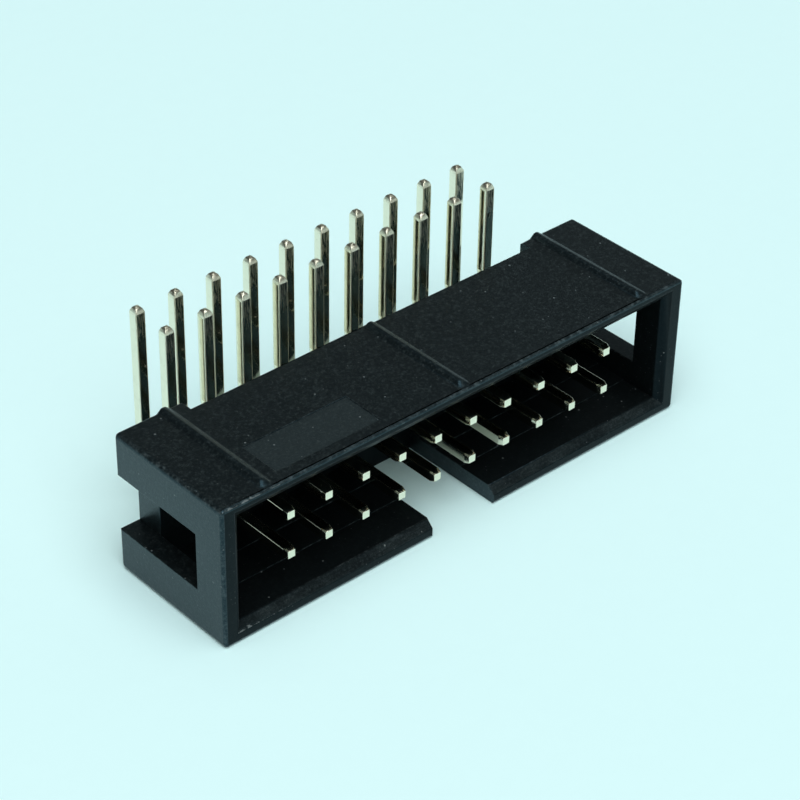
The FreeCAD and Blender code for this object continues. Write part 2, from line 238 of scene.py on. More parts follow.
def select_faces(thing, test):
    """In edit mode, select only the faces whose centre and normal pass a test."""
    bpy.ops.mesh.select_all(action="DESELECT")
    mesh = bmesh.from_edit_mesh(thing.data)
    for face in mesh.faces:
        if test(face.calc_center_median(), face.normal):
            face.select_set(True)
    bmesh.update_edit_mesh(thing.data)


def extrude(x, y, z):
    """Draw the selected faces out by a step."""
    bpy.ops.mesh.extrude_region_move(TRANSFORM_OT_translate={"value": (x, y, z)})


def combine(target, other, operation):
    """Cut one block from a piece, or join it on, and remove the block."""
    modifier = target.modifiers.new("combine", "BOOLEAN")
    modifier.operation = operation
    modifier.solver = "EXACT"
    modifier.object = other
    only(target)
    bpy.ops.object.modifier_apply(modifier=modifier.name)
    bpy.data.objects.remove(other)


def cut_block(target, low, high):
    """Cut a block between two corners out of a piece."""
    combine(target, add_block("core", low, high), "DIFFERENCE")


def round_edges(piece, radius_of, widest):
    """Round each edge by its own radius, a function of its middle, direction and turn."""
    mesh = bmesh.new()
    mesh.from_mesh(piece.data)
    layer = mesh.edges.layers.float.new("bevel_weight_edge")
    for edge in mesh.edges:
        middle = (edge.verts[0].co + edge.verts[1].co) / 2
        direction = (edge.verts[1].co - edge.verts[0].co).normalized()
        edge[layer] = radius_of(middle, direction, edge.calc_face_angle_signed(0.0)) / widest
    mesh.to_mesh(piece.data)
    mesh.free()
    only(piece)
    bevel = piece.modifiers.new("edges", "BEVEL")
    bevel.limit_method = "WEIGHT"
    bevel.width = widest
    bevel.segments = 3
    bevel.use_clamp_overlap = False
    bevel.miter_outer = "MITER_ARC"
    bpy.ops.object.modifier_apply(modifier=bevel.name)


def smooth_flats(piece, is_crease=None):
    """Shade smoothly over rounded edges, with flat faces kept flat and chosen edges crisp."""
    only(piece)
    bpy.ops.object.shade_smooth_by_angle(angle=math.radians(50))
    points = piece.data.vertices
    for edge in piece.data.edges:
        if is_crease and all(is_crease(points[end].co) for end in edge.vertices):
            edge.use_edge_sharp = True
    normals = piece.modifiers.new("normals", "WEIGHTED_NORMAL")
    normals.keep_sharp = True
    bpy.ops.object.modifier_apply(modifier=normals.name)


def mark_edge_exposure(piece):
    """Store how exposed each corner of the narrow faces is, from the sharpest turn of its edges; there the
    plastic is lightened, partly as wear and partly as a painted edge highlight.
    """
    least_turn, full_turn = math.radians(17), math.radians(28)
    mesh = bmesh.new()
    mesh.from_mesh(piece.data)
    layer = mesh.loops.layers.float.new("wear_and_edge_highlight")
    for face in mesh.faces:
        if face.calc_area() / face.calc_perimeter() > WORN_AND_HIGHLIT_WIDTH / 2:
            continue
        for corner in face.loops:
            sharpest = max(edge.calc_face_angle_signed(0.0) for edge in corner.vert.link_edges)
            corner[layer] = min(1.0, max(0.0, (sharpest - least_turn) / (full_turn - least_turn)))
    mesh.to_mesh(piece.data)
    mesh.free()


def mark_faces(piece, name, test):
    """Store 1 on the faces whose centre and normal pass a test and 0 on the others."""
    marks = piece.data.attributes.new(name, "FLOAT", "FACE")
    for face in piece.data.polygons:
        marks.data[face.index].value = 1.0 if test(face.center, face.normal) else 0.0


def finish_piece(piece, node_names, materials):
    """Give a finished piece its materials and body, and hide the nodes that it stands for."""
    piece.data.materials.clear()
    for material in materials:
        piece.data.materials.append(material)
    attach(piece, ROOT)
    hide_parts(*node_names)


class NodeBench:
    """Places and links shader nodes in one node tree."""

    def __init__(self, tree):
        self.tree = tree
        self.count = 0

    def add(self, kind, inputs=None, **settings):
        """Add a node, set its properties, and set or link its inputs."""
        node = self.tree.nodes.new(kind)
        node.location = (self.count * 180, 0)
        self.count += 1
        for key, value in settings.items():
            setattr(node, key, value)
        self.feed_all(node.inputs, inputs or {})
        return node

    def feed(self, socket, value):
        """Link an output to a socket, or set the socket's own value."""
        if isinstance(value, bpy.types.NodeSocket):
            self.tree.links.new(value, socket)
        else:
            socket.default_value = value

    def feed_all(self, sockets, values):
        """Link or set several sockets, found by name or number."""
        for key, value in values.items():
            self.feed(sockets[key], value)

    def maths(self, operation, value, *others):
        """Join one value to the next by Math nodes and return the last output."""
        for other in others:
            value = self.add("ShaderNodeMath", {0: value, 1: other}, operation=operation).outputs[0]
        return value

    def plus(self, *values):
        """Return the sum of the values."""
        return self.maths("ADD", *values)

    def minus(self, first, second):
        """Return the first value less the second."""
        return self.maths("SUBTRACT", first, second)

    def times(self, first, second):
        """Return the product of two values."""
        return self.maths("MULTIPLY", first, second)

    def largest(self, *values):
        """Return the largest of the values."""
        return self.maths("MAXIMUM", *values)

    def mark(self, name):
        """Return the value of a mark that is stored on the mesh."""
        return self.add("ShaderNodeAttribute", attribute_name=name).outputs["Fac"]

    def parts(self, vector):
        """Return the X, Y and Z outputs of a vector."""
        return self.add("ShaderNodeSeparateXYZ", {"Vector": vector}).outputs

    def ramp(self, value, low, high):
        """Return 0 below low, 1 above high and a smooth rise between."""
        node = self.add("ShaderNodeMapRange", {"Value": value, "From Min": low, "From Max": high},
                        interpolation_type="SMOOTHSTEP")
        return node.outputs["Result"]

    def noise(self, vector, scale, detail=2.0, roughness=0.5):
        """Return the value of a noise texture."""
        inputs = {"Vector": vector, "Scale": scale, "Detail": detail, "Roughness": roughness}
        return self.add("ShaderNodeTexNoise", inputs).outputs["Fac"]

    def stretch(self, vector, scale):
        """Return a vector with each part multiplied."""
        return self.add("ShaderNodeVectorMath", {0: vector, 1: scale}, operation="MULTIPLY").outputs[0]

    def mix_colour(self, factor, *colours):
        """Return a mix of two colours."""
        first, second = (one if isinstance(one, bpy.types.NodeSocket) else (*one, 1.0) for one in colours)
        return self.add("ShaderNodeMix", {0: factor, 6: first, 7: second}, data_type="RGBA").outputs[2]


def new_group(name, inputs, outputs):
    """Make a shader node group and return its bench, what it is given and the sockets that it fills."""
    tree = bpy.data.node_groups.new(name, "ShaderNodeTree")
    tree.interface.new_socket("Vector", in_out="INPUT", socket_type="NodeSocketVector")
    for socket_name, value in inputs.items():
        socket = tree.interface.new_socket(socket_name, in_out="INPUT", socket_type="NodeSocketFloat")
        socket.default_value = value
    for socket_name in outputs:
        tree.interface.new_socket(socket_name, in_out="OUTPUT", socket_type="NodeSocketFloat")
    bench = NodeBench(tree)
    return bench, bench.add("NodeGroupInput").outputs, bench.add("NodeGroupOutput").inputs


def make_grain_group():
    """Fine moulded grain with short fibre flecks and slow clouds, in millimetres."""
    bench, given, out = new_group("moulded_grain", {"Grain Size": 0.09, "Fleck Amount": 0.5},
                                  ["Height", "Mottle", "Flecks", "Clouds"])
    vector = given["Vector"]
    scale = bench.maths("DIVIDE", 1.0, given["Grain Size"])
    fine = bench.noise(vector, scale, 3.0, 0.65)
    coarse = bench.noise(vector, bench.times(scale, 0.28), 2.0, 0.5)
    warp = bench.add("ShaderNodeTexNoise", {"Vector": vector, "Scale": 0.9, "Detail": 1.0}).outputs
    turned = bench.add("ShaderNodeVectorMath", {0: vector, 1: warp["Color"]}, operation="ADD").outputs[0]
    along_rows, across_rows = (bench.noise(bench.stretch(turned, thinness), 1.0, 2.0, 0.7)
                               for thinness in ((2.2, 11.0, 11.0), (11.0, 2.6, 11.0)))
    threshold = bench.minus(0.80, bench.times(given["Fleck Amount"], 0.16))
    bench.feed_all(out, {
        "Height": bench.plus(fine, bench.times(coarse, 0.6)),
        "Mottle": bench.ramp(bench.noise(vector, 5.5, 4.0, 0.8), 0.47, 0.74),
        "Flecks": bench.ramp(bench.largest(along_rows, across_rows), threshold,
                             bench.plus(threshold, 0.10)),
        "Clouds": bench.noise(vector, 0.45, 3.0, 0.55),
    })
    return bench.tree


def make_speck_group():
    """Sparse round specks, such as dust grains or pits, in millimetres."""
    bench, given, out = new_group("scattered_specks", {"Spacing": 0.8, "Radius": 0.05, "Share": 0.4},
                                  ["Specks"])
    scale = bench.maths("DIVIDE", 1.0, given["Spacing"])
    cells = bench.add("ShaderNodeTexVoronoi", {"Vector": given["Vector"], "Scale": scale},
                      voronoi_dimensions="3D", feature="F1").outputs
    chance = bench.add("ShaderNodeSeparateColor", {"Color": cells["Color"]}).outputs
    reach = bench.times(cells["Distance"], given["Spacing"])
    size = bench.times(given["Radius"], bench.plus(0.4, bench.times(chance["Green"], 1.2)))
    disc = bench.minus(1.0, bench.ramp(reach, bench.times(size, 0.5), size))
    chosen = bench.maths("LESS_THAN", chance["Red"], given["Share"])
    bench.feed(out["Specks"], bench.times(disc, chosen))
    return bench.tree


def make_wear_and_highlight_group():
    """Broken rubbing along exposed edges, partly wear and partly a painted edge highlight, and fine
    scratches that mostly run along the rows.
    """
    bench, given, out = new_group("edge_rubbing_and_highlight", {"Edge Exposure": 0.0, "Patch Size": 0.6},
                                  ["Rubbed", "Scratches"])
    scale = bench.maths("DIVIDE", 1.0, given["Patch Size"])
    patches = bench.ramp(bench.noise(given["Vector"], scale, 4.0, 0.75), 0.44, 0.70)
    along = bench.noise(bench.stretch(given["Vector"], (1.1, 12.0, 12.0)), 1.0, 3.0, 0.7)
    grains = bench.noise(given["Vector"], 9.0, 2.0, 0.7)
    marks = bench.plus(bench.times(along, 0.45), bench.times(grains, 0.55))
    bench.feed(out["Rubbed"], bench.times(patches, given["Edge Exposure"]))
    bench.feed(out["Scratches"], bench.ramp(marks, 0.46, 0.62))
    return bench.tree


def make_streak_group():
    """Long fine drawing lines that run along a wire, for a place on the wire."""
    bench, given, out = new_group("drawing_lines", {"Line Width": 0.03, "Line Length": 3.0},
                                  ["Lines", "Dulling"])
    across = bench.maths("DIVIDE", 1.0, given["Line Width"])
    along = bench.maths("DIVIDE", 1.0, given["Line Length"])
    scale = bench.add("ShaderNodeCombineXYZ", {"X": across, "Y": across, "Z": along}).outputs[0]
    bench.feed(out["Lines"], bench.noise(bench.stretch(given["Vector"], scale), 1.0, 3.0, 0.6))
    bench.feed(out["Dulling"], bench.ramp(bench.noise(given["Vector"], 1.6, 3.0, 0.6), 0.45, 0.75))
    return bench.tree


def new_material(name):
    """Make an empty node material and return it with its bench, shader and place in millimetres."""
    material = bpy.data.materials.new(name)
    material.use_nodes = True
    tree = material.node_tree
    tree.nodes.clear()
    bench = NodeBench(tree)
    output = bench.add("ShaderNodeOutputMaterial")
    shader = bench.add("ShaderNodeBsdfPrincipled")
    tree.links.new(shader.outputs["BSDF"], output.inputs["Surface"])
    place = bench.add("ShaderNodeTexCoord").outputs["Object"]
    return material, bench, shader, bench.stretch(place, [1 / MM] * 3)


def use_group(bench, tree, vector, inputs):
    """Place a shared node group in a material and return its outputs."""
    return bench.add("ShaderNodeGroup", {"Vector": vector, **inputs}, node_tree=tree).outputs


def raise_bump(bench, shader, height):
    """Raise the surface by a height in millimetres."""
    bump = bench.add("ShaderNodeBump", {"Height": height, "Strength": 1.0, "Distance": MM})
    bench.feed(shader.inputs["Normal"], bump.outputs["Normal"])


def chipped_lip(bench, place, lead_in):
    """Return a mask of the pale ragged line on the lip of the floor's lead-in, at its left end."""
    full_to, gone_by = -14.8, -10.5
    widest, soft_edge = 0.6, 0.05
    parts = bench.parts(place)
    behind_mouth = bench.minus(parts["Y"], HOUSING_LOW.y / MM)
    near_left = bench.minus(1.0, bench.ramp(parts["X"], full_to, gone_by))
    raggedness = bench.minus(bench.noise(place, 2.2, 4.0, 0.7), 0.38)
    reach = bench.times(raggedness, bench.times(near_left, widest))
    return bench.times(bench.ramp(bench.minus(reach, behind_mouth), 0.0, soft_edge), lead_in)


def moulded_colour(bench, look, finishes, grain, lead_in, rubbed_in):
    """Return the plastic's own colour, mottled and flecked, and lifted where the lead-in is rubbed."""
    lift = bench.largest(look["lift"], bench.times(rubbed_in, LEAD_IN_LIFT))
    base = bench.mix_colour(lift, finishes.plastic, finishes.plastic_fleck)
    most = bench.largest(look["mottle"], bench.times(lead_in, LEAD_IN_MOTTLE))
    mottled = bench.mix_colour(bench.times(grain["Mottle"], most), base, finishes.plastic_fleck)
    flecks = bench.times(grain["Flecks"], FLECK_SHARE * look["mottle"])
    return bench.mix_colour(flecks, mottled, finishes.plastic_fleck)


def make_plastic(name, groups, finishes):
    """Black glass-filled plastic with moulded grain, flecks, dust, scuffs and rubbed edges, whose lighter
    colour is partly wear and partly a painted edge highlight.
    """
    look = PLASTIC_LOOKS[name]
    material, bench, shader, place = new_material(name)
    grain = use_group(bench, groups["grain"], place, {"Grain Size": 0.085, "Fleck Amount": 0.55})
    dust, lint, pits = (use_group(bench, groups["specks"], place, SPECKS[kind])["Specks"]
                        for kind in ("dust", "lint", "pits"))
    wear_and_edge_highlight = bench.mark("wear_and_edge_highlight")
    lead_in = bench.mark("lead_in")
    rubbed_and_highlit = use_group(bench, groups["wear_and_edge_highlight"], place, {"Edge Exposure": wear_and_edge_highlight, "Patch Size": 0.35})

    cloudy = bench.ramp(grain["Clouds"], 0.42, 0.62)
    rubbed_in = bench.times(lead_in, bench.plus(0.4, bench.times(cloudy, 0.6)))
    handled = bench.largest(bench.times(rubbed_in, 0.5), look["mottle"] * 0.15)
    scuffs = bench.times(handled, rubbed_and_highlit["Scratches"])
    exposed = bench.largest(bench.times(rubbed_and_highlit["Rubbed"], RUBBED_AND_HIGHLIT_SHARE),
                            bench.times(scuffs, SCUFFED_SHARE))
    moulded = moulded_colour(bench, look, finishes, grain, lead_in, rubbed_in)
    # Rubbed edges and scuffs take the lighter colour; on the edges it is partly wear and partly a painted
    # edge highlight
    worn_and_highlit = bench.mix_colour(exposed, moulded, finishes.plastic_worn_and_edge_highlight)
    loose = bench.largest(dust, bench.times(lint, LINT_SHARE), bench.times(pits, wear_and_edge_highlight),
                          chipped_lip(bench, place, lead_in))
    dusty = bench.mix_colour(bench.times(loose, LOOSE_SHARE), worn_and_highlit, finishes.dust)

    clouds = bench.minus(grain["Clouds"], 0.5)
    rough = look["roughness"]
    for kind, mark in {"clouds": clouds, "dust": dust, "exposed": exposed}.items():
        rough = bench.plus(rough, bench.times(mark, PLASTIC_ROUGHNESS[kind]))
    bench.feed_all(shader.inputs, {"Base Color": dusty, "Roughness": rough, "IOR": 1.46,
                                   "Specular IOR Level": look["shine"],
                                   "Specular Tint": (0.42, 0.78, 1.0, 1.0)})

    height = bench.minus(bench.times(grain["Height"], look["grain"]), bench.times(pits, PIT_DEPTH))
    raise_bump(bench, shader, bench.plus(height, bench.times(dust, DUST_HEIGHT)))
    return material


def scrape_mask(bench, groups, place, on_wire):
    """Return a mask of the marks that the cutting die drags down the front of each tail's end."""
    fade_per_mm = 0.2
    front_from = 0.25
    tail_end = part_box(LONG_CONTACTS[0])[1].z / MM
    drawn = use_group(bench, groups["streaks"], on_wire, {"Line Width": 0.05, "Line Length": 0.9})
    below = bench.times(bench.minus(tail_end, bench.parts(place)["Z"]), fade_per_mm)
    fading = bench.ramp(bench.minus(drawn["Lines"], below), 0.12, 0.26)
    streaked = bench.times(fading, bench.ramp(drawn["Lines"], 0.40, 0.58))
    return bench.times(streaked, bench.maths("GREATER_THAN", bench.parts(on_wire)["Y"], front_from))


def make_plating(groups, finishes):
    """Bright tin plating with drawing lines along the wire, dull patches and dark specks."""
    material, bench, shader, place = new_material("tin_plating")
    on_wire = bench.add("ShaderNodeAttribute", attribute_name="on_wire").outputs["Vector"]
    cut = bench.mark("cut")
    drawn = use_group(bench, groups["streaks"], on_wire, {"Line Width": 0.05, "Line Length": 4.0})
    tarnish = use_group(bench, groups["specks"], place, SPECKS["tarnish"])["Specks"]
    scraped = scrape_mask(bench, groups, place, on_wire)
    dulled = bench.largest(bench.times(drawn["Dulling"], PLATING_DULLING["dull"]),
                           bench.times(scraped, PLATING_DULLING["scraped"]),
                           bench.times(bench.ramp(cut, 0.4, 1.0), PLATING_DULLING["cut"]))
    tarnished = bench.times(tarnish, PLATING_DULLING["tarnish"])
    base = bench.mix_colour(dulled, finishes.plating, finishes.plating_dull)
    base = bench.mix_colour(tarnished, base, finishes.plating_dull)
    marks = {"dull": drawn["Dulling"], "cut": cut, "corner": bench.mark("corner"), "scraped": scraped}
    rough = PLATING_ROUGHNESS["plain"]
    for kind, mark in marks.items():
        rough = bench.plus(rough, bench.times(mark, PLATING_ROUGHNESS[kind]))
    bench.feed_all(shader.inputs, {"Base Color": base, "Metallic": 1.0, "Roughness": rough})
    torn = bench.times(bench.noise(place, 9.0, 3.0, 0.6), bench.times(cut, TORN_HEIGHT))
    raise_bump(bench, shader, bench.plus(torn, bench.times(drawn["Lines"], DRAWN_HEIGHT)))
    return material


def make_table_finish(finishes):
    """Matt pale table top with a barely visible tooth."""
    material, bench, shader, place = new_material("pale_table")
    tooth = bench.noise(place, 0.8, 4.0, 0.6)
    darker = [part * 0.985 for part in finishes.table]
    base = bench.mix_colour(tooth, finishes.table, darker)
    bench.feed_all(shader.inputs, {"Base Color": base, "Roughness": 0.9, "Specular IOR Level": 0.1})
    return material


def draw_housing_block(sizes):
    """Start from the plain block and set the middle of its rear face forward."""
    low = HOUSING_LOW
    high = Vector((HOUSING_HIGH.x, HOUSING_HIGH.y, HOUSING_HIGH.z - sizes.rib_rise))
    shell = add_block("housing_shell", low, high)
    step_x = high.x - sizes.ear_width
    cut_block(shell, (-step_x, high.y - sizes.ear_step, low.z - MM),
              (step_x, high.y + MM, high.z + MM))
    return shell, low, high


def cut_cavity(shell, low, high, sizes):
    """Sink the cavity, with its mouth widened by the lead-in, and open the key slot."""
    inner_x = high.x - sizes.end_wall
    front_y = low.y + sizes.mouth_chamfer
    floor_y = low.y + sizes.cavity_depth
    bottom_z = low.z + sizes.face_wall
    top_z = high.z - sizes.face_wall
    core = add_block("cavity_core", (-inner_x, front_y, bottom_z), (inner_x, floor_y, top_z))
    bpy.ops.object.mode_set(mode="EDIT")
    select_faces(core, lambda centre, normal: normal.y < -0.5)
    extrude(0, -sizes.mouth_chamfer, 0)
    wide = (inner_x + sizes.mouth_chamfer) / inner_x
    growth = (sizes.mouth_chamfer + sizes.roof_chamfer) / (top_z - bottom_z)
    still_z = bottom_z + sizes.mouth_chamfer / growth
    bpy.ops.transform.resize(value=(wide, 1.0, 1.0 + growth), center_override=(0, low.y, still_z))
    extrude(0, -MM, 0)
    bpy.ops.object.mode_set(mode="OBJECT")
    combine(shell, core, "DIFFERENCE")
    half_key = sizes.key_width / 2
    cut_block(shell, (-half_key, low.y - MM, low.z - MM), (half_key, floor_y, bottom_z + MM))


def step_floor(shell, low, high, sizes):
    """Raise the cavity's floor by two fine steps on each side of the key slot."""
    inner_x = high.x - sizes.end_wall
    rear_y = low.y + sizes.cavity_depth
    floor_z = low.z + sizes.face_wall
    for count, setback in enumerate((sizes.step_one_setback, sizes.step_two_setback), start=1):
        for side in (-1, 1):
            ends = sorted((side * (inner_x + LAP), side * sizes.key_width / 2))
            step = add_block("floor_step", (ends[0], low.y + setback, floor_z - LAP),
                             (ends[1], rear_y + LAP, floor_z + count * sizes.step_rise))
            combine(shell, step, "UNION")


def cut_end_slots(shell, low, high, sizes):
    """Cut the slot in each end wall, open at the rear."""
    middle_z = (low.z + high.z) / 2
    half_height = sizes.end_slot_height / 2
    for side in (-1, 1):
        edges = sorted((side * (high.x - sizes.end_wall), side * (high.x + MM)))
        cut_block(shell, (edges[0], low.y + sizes.end_slot_setback, middle_z - half_height),
                  (edges[1], high.y + MM, middle_z + half_height))


def cut_contact_holes(shell, low, sizes):
    """Open a square hole through the base for each contact."""
    floor_y = low.y + sizes.cavity_depth
    rear_y = HOUSING_HIGH.y
    cores = []
    for name in LONG_CONTACTS + SHORT_CONTACTS:
        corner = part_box(name)[0]
        row_z = row_height(name)
        cores.append(add_block("hole_core", (corner.x, floor_y - MM, row_z - WIRE / 2),
                               (corner.x + WIRE, rear_y + MM, row_z + WIRE / 2)))
    only(cores[0])
    for core in cores:
        core.select_set(True)
    bpy.ops.object.join()
    combine(shell, cores[0], "DIFFERENCE")


def raise_ribs(shell, low, high, sizes):
    """Raise the three board-side ribs, with sloping flanks and a front end that leans back."""
    front_y = low.y + sizes.rib_front_gap
    rows = ((0.0, high.y - sizes.ear_step), (-sizes.rib_spacing, high.y), (sizes.rib_spacing, high.y))
    for centre_x, rear_y in rows:
        half = sizes.rib_foot / 2
        rib = add_block("rib", (centre_x - half, front_y, high.z - LAP),
                        (centre_x + half, rear_y, high.z))
        bpy.ops.object.mode_set(mode="EDIT")
        select_faces(rib, lambda centre, normal: normal.z > 0.5)
        extrude(0, 0, sizes.rib_rise)
        kept = 1.0 - sizes.rib_front_slope / (rear_y - front_y)
        bpy.ops.transform.resize(value=(sizes.rib_crown / sizes.rib_foot, kept, 1.0),
                                 center_override=(centre_x, rear_y, high.z))
        bpy.ops.object.mode_set(mode="OBJECT")
        combine(shell, rib, "UNION")


def sink_label(shell, low, high, sizes):
    """Sink the bare label field into the board side."""
    half = sizes.label_length / 2
    front_y = low.y + sizes.label_setback
    cut_block(shell, (sizes.label_centre_x - half, front_y, high.z - sizes.label_depth),
              (sizes.label_centre_x + half, front_y + sizes.label_width, high.z + MM))


def housing_edge_radii(low, high, sizes):
    """Return a function that gives each edge of the housing its radius."""
    least_turn = math.radians(20)
    floor_z = low.z + sizes.face_wall
    cavity_rear_y = low.y + sizes.cavity_depth
    middle_rear_y = high.y - sizes.ear_step
    step_ys = [low.y + setback for setback in (sizes.step_one_setback, sizes.step_two_setback)]
    rib_xs = (-sizes.rib_spacing, 0.0, sizes.rib_spacing)

    def at(value, target):
        return abs(value - target) < NEAR

    def is_plain(x, y, z, along_depth):
        in_base = along_depth and y > cavity_rear_y and abs(x) < high.x - sizes.ear_width + MM / 2
        in_hole = z < high.z - MM and abs(x) < high.x - sizes.ear_width - NEAR
        return in_base or (in_hole and (at(y, cavity_rear_y) or at(y, middle_rear_y)))

    def radius(middle, direction, turn):
        x, y, z = middle
        on_top, on_bottom = at(z, high.z), at(z, low.z)
        on_end, on_mouth, on_rear = at(abs(x), high.x), at(y, low.y), at(y, high.y)
        along_rows, along_depth = abs(direction.x) > 0.9, abs(direction.y) > 0.9
        from_rib = min(abs(x - rib_x) for rib_x in rib_xs)
        if on_top and from_rib <= sizes.rib_foot / 2 + NEAR and turn < -least_turn:
            return sizes.rib_fillet
        if turn < least_turn:
            return 0.0
        if z > high.z + NEAR:
            return sizes.rib_round
        by_floor = floor_z - NEAR < z < floor_z + 2 * sizes.step_rise + NEAR
        if by_floor and along_rows and any(at(y, step_y) for step_y in step_ys):
            return sizes.step_round
        if by_floor and y > step_ys[0] - NEAR:
            return 0.0
        if on_rear and on_bottom and along_rows:
            return sizes.heel_radius
        if on_end and (on_bottom or on_top) and along_depth:
            return sizes.corner_radius
        if sum((on_end, on_mouth, on_rear, on_bottom, on_top)) >= 2:
            return sizes.outer_radius
        in_label = abs(x - sizes.label_centre_x) <= sizes.label_length / 2 + NEAR and z > high.z - MM
        if in_label and y > low.y + sizes.label_setback - NEAR and not at(y, middle_rear_y):
            return sizes.label_round if on_top else 0.0
        return 0.0 if is_plain(x, y, z, along_depth) else sizes.inner_radius

    return radius


class HEADER_OT_mould_housing(bpy.types.Operator):
    """Mould the housing: cavity, key slot, end slots, ears, ribs and softened edges"""
    bl_idname = "header.mould_housing"
    bl_label = "Mould the Housing"

    def execute(self, context):
        sizes = context.scene.header_housing
        shell, low, high = draw_housing_block(sizes)
        cut_cavity(shell, low, high, sizes)
        step_floor(shell, low, high, sizes)
        cut_end_slots(shell, low, high, sizes)
        cut_contact_holes(shell, low, sizes)
        raise_ribs(shell, low, high, sizes)
        sink_label(shell, low, high, sizes)
        only(shell)
        bpy.ops.object.mode_set(mode="EDIT")
        bpy.ops.mesh.select_all(action="SELECT")
        bpy.ops.mesh.remove_doubles(threshold=0.001 * MM)
        bpy.ops.mesh.dissolve_limited(angle_limit=math.radians(0.5))
        bpy.ops.object.mode_set(mode="OBJECT")
        round_edges(shell, housing_edge_radii(low, high, sizes), sizes.heel_radius)
        mark_edge_exposure(shell)
        lip_y = low.y + sizes.mouth_chamfer
        mark_faces(shell, "lead_in",
                   lambda centre, normal: normal.y < -0.55 and normal.z > 0.55 and centre.y < lip_y)
        smooth_flats(shell)
        finishes = context.scene.header_finishes
        groups = shared_groups()
        plastics = [make_plastic(name, groups, finishes) for name in PLASTIC_LOOKS]
        finish_piece(shell, ["housing"], plastics)
        self.pick_finishes(shell, low, high, sizes)
        return {"FINISHED"}

    def pick_finishes(self, shell, low, high, sizes):
        """Give the label field its finish, and the rim, the lead-in and the cavity the dullest, darker
        plastic that paints their shade.
        """
        label_z = high.z - sizes.label_depth
        reach_x = high.x - sizes.end_wall + sizes.mouth_chamfer + NEAR
        bottom_z = low.z + sizes.face_wall - sizes.mouth_chamfer - NEAR
        top_z = high.z - sizes.face_wall + sizes.roof_chamfer + NEAR
        for face in shell.data.polygons:
            centre = face.center
            inside = abs(centre.x) < reach_x and bottom_z < centre.z < top_z
            inside = inside and centre.y < low.y + sizes.cavity_depth + NEAR
            # The cavity, the lead-in and the front face take the plastic with painted shade
            if inside or (centre.y < low.y + NEAR and face.normal.y < -0.9):
                face.material_index = 2
            elif abs(centre.z - label_z) < NEAR / 2 and face.normal.z > 0.9:
                face.material_index = 1


def row_height(name):
    """Return the height of a contact's mating end."""
    row = LONG_CONTACTS if name in LONG_CONTACTS else SHORT_CONTACTS
    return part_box(row[0])[0].z + WIRE / 2


def bend_contact(name, sizes):
    """Model one contact: a square wire, drawn back, bent up and drawn out to its tail."""
    low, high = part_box(name)
    row_z = row_height(name)
    centre_x = (low.x + high.x) / 2
    tail_y = high.y - WIRE / 2
    radius = sizes.bend_radius + WIRE / 2
    shoulder_y = low.y + sizes.mating_tip_length
    bend_y = tail_y - radius
    shoulder_z = high.z - sizes.tail_tip_length
    wire = add_block("straight_wire", (low.x, shoulder_y, low.z), (high.x, bend_y, low.z + WIRE))
    bpy.ops.object.mode_set(mode="EDIT")
    select_faces(wire, lambda centre, normal: normal.y < -0.5)
    extrude(0, -sizes.mating_tip_length, 0)
    taper = sizes.mating_tip_flat / WIRE
    bpy.ops.transform.resize(value=(taper, 1.0, taper), center_override=(centre_x, low.y, row_z))
    select_faces(wire, lambda centre, normal: normal.y > 0.5)
    bpy.ops.mesh.spin(steps=sizes.bend_steps, angle=math.pi / 2, axis=(-1, 0, 0),
                      center=(centre_x, bend_y, row_z + radius))
    extrude(0, 0, shoulder_z - (row_z + radius))
    steps = ((sizes.tail_tip_length - sizes.tail_cap_height, sizes.tail_tip_flat / WIRE),
             (sizes.tail_cap_height, sizes.tail_cap_flat / sizes.tail_tip_flat))
    for rise, taper in steps:
        extrude(0, 0, rise)
        bpy.ops.transform.resize(value=(taper, taper, 1.0), center_override=(centre_x, tail_y, high.z))
    bpy.ops.mesh.select_all(action="SELECT")
    bpy.ops.mesh.remove_doubles(threshold=0.001 * MM)
    bpy.ops.mesh.normals_make_consistent(inside=False)
    bpy.ops.object.mode_set(mode="OBJECT")
    return wire


def contact_edge_radii(name, sizes):
    """Return a function that rounds the tail's long edges fully and the other edges less."""
    low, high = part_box(name)
    mating_y = low.y + 0.9 * sizes.mating_tip_length
    tail_z = high.z - 0.9 * sizes.tail_tip_length

    def radius(middle, direction, turn):
        if turn < math.radians(15):
            return 0.0
        across = abs(direction.x) > 0.9 or max(abs(direction.y), abs(direction.z)) <= 0.5
        if across or middle.y < low.y + NEAR or middle.z > high.z - NEAR:
            return sizes.tip_edge
        if middle.y < mating_y or middle.z > tail_z:
            return sizes.taper_corner
        bend_y = high.y - WIRE - sizes.bend_radius
        on_mating = middle.z < row_height(name) + WIRE and middle.y < bend_y - LAP
        return sizes.mating_corner if on_mating else sizes.corner

    return radius


def shoulder_test(name, sizes):
    """Return a test of whether a point is on the line where a tip's taper begins."""
    low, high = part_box(name)
    mating_y = low.y + sizes.mating_tip_length
    tail_z = high.z - sizes.tail_tip_length
    return lambda point: min(abs(point.y - mating_y), abs(point.z - tail_z)) < 2 * NEAR


